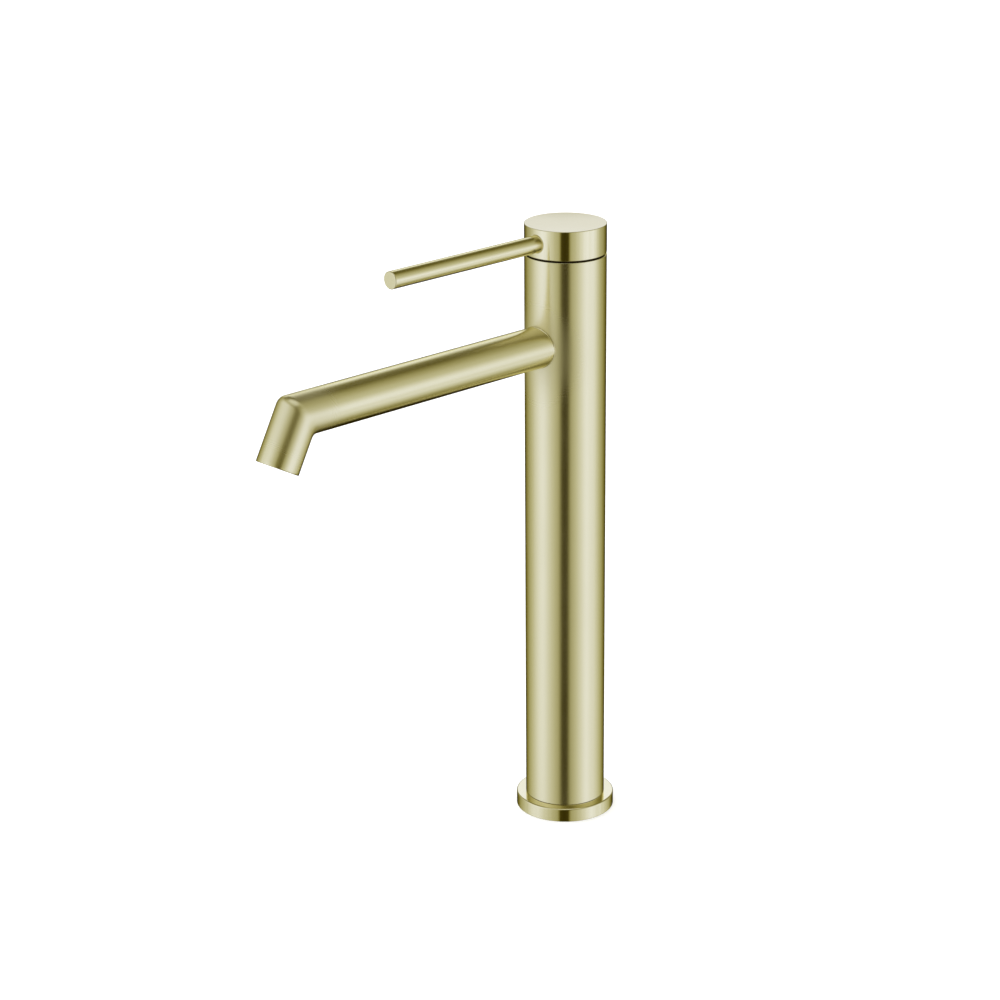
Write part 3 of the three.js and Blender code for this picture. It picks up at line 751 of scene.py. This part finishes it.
def smooth_by_angle(degrees=35):
    tree = bpy.data.node_groups.new("smooth_by_angle", "GeometryNodeTree")
    tree.interface.new_socket("Geometry", in_out="INPUT", socket_type="NodeSocketGeometry")
    tree.interface.new_socket("Geometry", in_out="OUTPUT", socket_type="NodeSocketGeometry")
    nodes = Nodes(tree)
    start = nodes.add("NodeGroupInput")
    stored = {"Geometry": start.outputs[0], "Name": "custom_normal"}
    bare = nodes.add("GeometryNodeRemoveAttribute", stored)
    whole = nodes.add("GeometryNodeMergeByDistance", {"Geometry": bare.outputs[0], "Distance": 1e-6})
    angle = nodes.add("GeometryNodeInputMeshEdgeAngle").outputs[0]
    gentle = nodes.add("FunctionNodeCompare", {0: angle, 1: math.radians(degrees)}, operation="LESS_THAN")
    faces = nodes.add("GeometryNodeSetShadeSmooth", {"Geometry": whole.outputs[0]}, domain="FACE")
    edges = nodes.add("GeometryNodeSetShadeSmooth", {"Geometry": faces.outputs[0]}, domain="EDGE")
    nodes.feed(edges.inputs["Shade Smooth"], gentle.outputs[0])
    nodes.add("NodeGroupOutput", {"Geometry": edges.outputs[0]})
    return tree


smoothing = smooth_by_angle()
for name, obj in frame["nodes"].items():
    if obj.hide_render:
        continue
    obj.data.materials.clear()
    obj.data.materials.append(materials[slot_of[name]])
    obj.modifiers.new("shading", "NODES").node_group = smoothing


# The studio: a pale floor, soft light, and the camera.

CAMERA_AZIMUTH = math.radians(44.8)
CAMERA_DISTANCE = 1.3824  # level, from the column's axis
CAMERA_HEIGHT = 0.6641
CAMERA_PAN = math.radians(1.411)
CAMERA_PITCH = math.radians(19.55)
CAMERA_ROLL = math.radians(-0.416)
LENS_MM = 101.15


def add_camera():
    data = bpy.data.cameras.new("camera")
    data.lens = LENS_MM
    data.sensor_width = 36
    data.clip_start, data.clip_end = 0.05, 60
    camera = bpy.data.objects.new("camera", data)
    bpy.context.scene.collection.objects.link(camera)
    turn = CAMERA_AZIMUTH + CAMERA_PAN
    level = math.cos(CAMERA_PITCH)
    back = Vector((math.sin(turn) * level, -math.cos(turn) * level, math.sin(CAMERA_PITCH)))
    right = Vector((math.cos(turn), math.sin(turn), 0))
    up = back.cross(right)
    rolled_right = right * math.cos(CAMERA_ROLL) + up * math.sin(CAMERA_ROLL)
    rolled_up = up * math.cos(CAMERA_ROLL) - right * math.sin(CAMERA_ROLL)
    axes = Matrix((rolled_right, rolled_up, back)).transposed().to_4x4()
    spot = Vector((math.sin(CAMERA_AZIMUTH), -math.cos(CAMERA_AZIMUTH), 0)) * CAMERA_DISTANCE
    camera.matrix_world = Matrix.Translation(spot + Vector((0, 0, CAMERA_HEIGHT))) @ axes
    bpy.context.scene.camera = camera


FLOOR_GLOW = 0.24  # lit from below, as on a light table, so that it has hardly any shadow


def add_floor():
    half, top = 30.0, -0.05 * MM
    corners = [(-half, -half, top), (half, -half, top), (half, half, top), (-half, half, top)]
    floor = mesh_object("floor", corners, [[0, 1, 2, 3]])
    material, _, shader = new_material("pale_floor")
    shader.inputs["Base Color"].default_value = (0.86, 0.86, 0.86, 1)
    shader.inputs["Roughness"].default_value = 0.9
    shader.inputs["Emission Color"].default_value = (1, 1, 1, 1)
    shader.inputs["Emission Strength"].default_value = FLOOR_GLOW
    floor.data.materials.append(material)
    floor.visible_glossy = False


# What a polished surface sees in the studio: a dark screen ahead, walls that brighten and fade again
# on both sides, and a window behind. The walls are given as (degrees from the screen, brightness).
DARK_SCREEN_AZIMUTH = CAMERA_AZIMUTH - math.radians(1.5)
SCREEN_LEAN = 10.0  # degrees to the right, from low to high
WALLS = [
    (0, 0.035), (9, 0.045), (13, 0.22), (16, 0.37), (20, 0.42), (26, 0.465), (36, 0.56),
    (46, 0.67), (57, 0.77), (66, 0.80), (75, 0.76), (84, 0.70), (93, 0.625), (104, 0.50),
    (116, 0.41), (128, 0.335), (142, 0.19), (154, 0.06), (180, 0.03),
]
UPPER_WALLS = [
    (0, 0.12), (30, 0.21), (60, 0.33), (90, 0.41), (105, 0.32), (120, 0.20), (137, 0.10), (180, 0.10),
]
RIGHT_FADE, LEFT_FADE, FAR_LEFT_FADE = 0.64, 0.93, 1.12  # of the walls, above eye level
RIGHT_BOOST, LOW_RIGHT_BOOST = 1.16, 1.2  # of the wall beside the mixer, at eye level and lower
LOW_FADE, FAR_LOW_FADE = 0.74, 0.36  # of the walls beside and behind, near the floor
LOW_NEAR_FADE, LOW_LEFT_FADE, LOW_BESIDE_BOOST = 0.86, 0.88, 1.2  # of the walls a little higher up
SCREEN_TOP = 0.2
WINDOW, WINDOW_TOP = 0.745, 0.87
OVERHEAD = 0.62
UNDERFOOT = 0.2
TINT_POWERS = (1.0, 1.1, 2.03)  # of the brightness: the darker the surroundings, the warmer they are


def studio_world():
    world = bpy.data.worlds.new("studio")
    bpy.context.scene.world = world
    world.use_nodes = True
    world.node_tree.nodes.clear()
    nodes = Nodes(world.node_tree)
    direction = nodes.add("ShaderNodeTexCoord").outputs["Generated"]
    flat = nodes.add("ShaderNodeVectorMath", {0: direction, 1: (1, 1, 0)}, operation="MULTIPLY")
    level = nodes.add("ShaderNodeVectorMath", {0: flat.outputs[0]}, operation="NORMALIZE").outputs[0]

    def toward(way):
        product = nodes.add("ShaderNodeVectorMath", {0: level, 1: way}, operation="DOT_PRODUCT")
        return product.outputs["Value"]

    facing = toward((math.sin(DARK_SCREEN_AZIMUTH), -math.cos(DARK_SCREEN_AZIMUTH), 0))
    side = toward((math.cos(DARK_SCREEN_AZIMUTH), math.sin(DARK_SCREEN_AZIMUTH), 0))
    height = nodes.add("ShaderNodeSeparateXYZ", {"Vector": direction}).outputs["Z"]
    elevation = nodes.math("MULTIPLY", nodes.math("ARCSINE", height), 180 / math.pi)

    def above(low, high):
        return nodes.spread(elevation, low, high, 0.0, 1.0)

    def below(low, high):
        return nodes.spread(elevation, low, high, 1.0, 0.0)

    def both(*factors):
        result = factors[0]
        for factor in factors[1:]:
            result = nodes.math("MULTIPLY", result, factor)
        return result

    def blend(factor, old, new):
        return nodes.math("ADD", old, both(factor, nodes.math("SUBTRACT", new, old)))

    def scaled(light, factor, gain):
        return both(light, blend(factor, 1.0, gain))

    turn = nodes.math("MULTIPLY", nodes.math("ARCTAN2", side, facing), 180 / math.pi)
    near = nodes.spread(nodes.math("ABSOLUTE", turn), 30.0, 90.0, SCREEN_LEAN, 0.0)
    lean = both(near, above(-15.0, 20.0))
    around = nodes.math("ABSOLUTE", nodes.math("SUBTRACT", turn, lean))

    def beyond(low, high):
        return nodes.spread(around, low, high, 0.0, 1.0)

    def band(stops):
        stops = [(angle / 180, value) for angle, value in stops]
        ramp = nodes.ramp(nodes.math("DIVIDE", around, 180), stops)
        return nodes.add("ShaderNodeSeparateColor", {"Color": ramp}).outputs[0]

    light = band(WALLS)
    light = blend(both(above(0.0, 20.0), nodes.spread(around, 11.0, 24.0, 1.0, 0.0)), light, SCREEN_TOP)
    left_fade = blend(beyond(78.0, 100.0), LEFT_FADE, FAR_LEFT_FADE)
    fade = blend(nodes.spread(side, -0.1, 0.25, 0.0, 1.0), left_fade, RIGHT_FADE)
    light = scaled(light, above(-6.0, 26.0), fade)
    right_side = nodes.spread(side, 0.4, 0.8, 0.0, 1.0)
    beside = both(right_side, beyond(72.0, 86.0), nodes.spread(around, 100.0, 118.0, 1.0, 0.0))
    light = scaled(light, both(beside, above(-24.0, -12.0)), RIGHT_BOOST)
    beside = both(right_side, beyond(84.0, 98.0), above(-36.0, -27.0), below(-24.0, -18.0))
    light = scaled(light, beside, LOW_RIGHT_BOOST)
    low = below(-32.0, -18.0)
    beside_screen = both(beyond(12.0, 18.0), nodes.spread(around, 50.0, 76.0, 1.0, 0.0))
    light = scaled(light, both(beside_screen, low), LOW_NEAR_FADE)
    left = both(nodes.spread(side, -0.8, -0.5, 1.0, 0.0), nodes.spread(around, 70.0, 86.0, 1.0, 0.0))
    light = scaled(light, both(left, low), LOW_LEFT_FADE)
    light = scaled(light, both(beyond(98.0, 110.0), low, above(-46.0, -36.0)), LOW_BESIDE_BOOST)
    low_fade = blend(beyond(112.0, 136.0), LOW_FADE, FAR_LOW_FADE)
    light = scaled(light, both(beyond(96.0, 112.0), below(-46.0, -28.0)), low_fade)
    light = blend(above(28.0, 44.0), light, band(UPPER_WALLS))
    window = blend(above(14.0, 24.0), WINDOW, WINDOW_TOP)
    light = blend(both(beyond(138.0, 162.0), above(3.0, 12.0), below(28.0, 44.0)), light, window)
    tilted = nodes.math("ADD", elevation, nodes.math("MULTIPLY", facing, 12.0))
    light = blend(nodes.spread(tilted, 58.0, 72.0, 0.0, 1.0), light, OVERHEAD)
    grey = blend(below(-75.0, -62.0), light, UNDERFOOT)
    # Each channel is divided by the gold's own, so that the metal reflects just this tint.
    tint = nodes.add("ShaderNodeCombineColor")
    for i, (power, metal) in enumerate(zip(TINT_POWERS, GOLD)):
        nodes.feed(tint.inputs[i], nodes.math("DIVIDE", nodes.math("POWER", grey, power), metal))
    # Only reflections see the studio. All else sees plain white.
    plain = nodes.add("ShaderNodeBackground", {"Color": (1, 1, 1, 1), "Strength": 1.0}).outputs[0]
    reflected = nodes.add("ShaderNodeBackground", {"Color": tint.outputs[0]}).outputs[0]
    mirrored_ray = nodes.add("ShaderNodeLightPath").outputs["Is Glossy Ray"]
    mix = nodes.add("ShaderNodeMixShader", {0: mirrored_ray, 1: plain, 2: reflected})
    nodes.add("ShaderNodeOutputWorld", {"Surface": mix.outputs[0]})


def add_floor_light():
    """Soft light from above for the floor and the plain pieces. The metal reflects only the studio."""
    data = bpy.data.lights.new("soft_light", "SUN")
    data.energy = 1.1
    data.angle = math.radians(70)
    light = bpy.data.objects.new("soft_light", data)
    bpy.context.scene.collection.objects.link(light)
    light.rotation_euler = (math.radians(12), math.radians(-14), 0)
    light.visible_glossy = False


add_camera()
add_floor()
studio_world()
add_floor_light()
bpy.context.scene.view_settings.view_transform = "Standard"
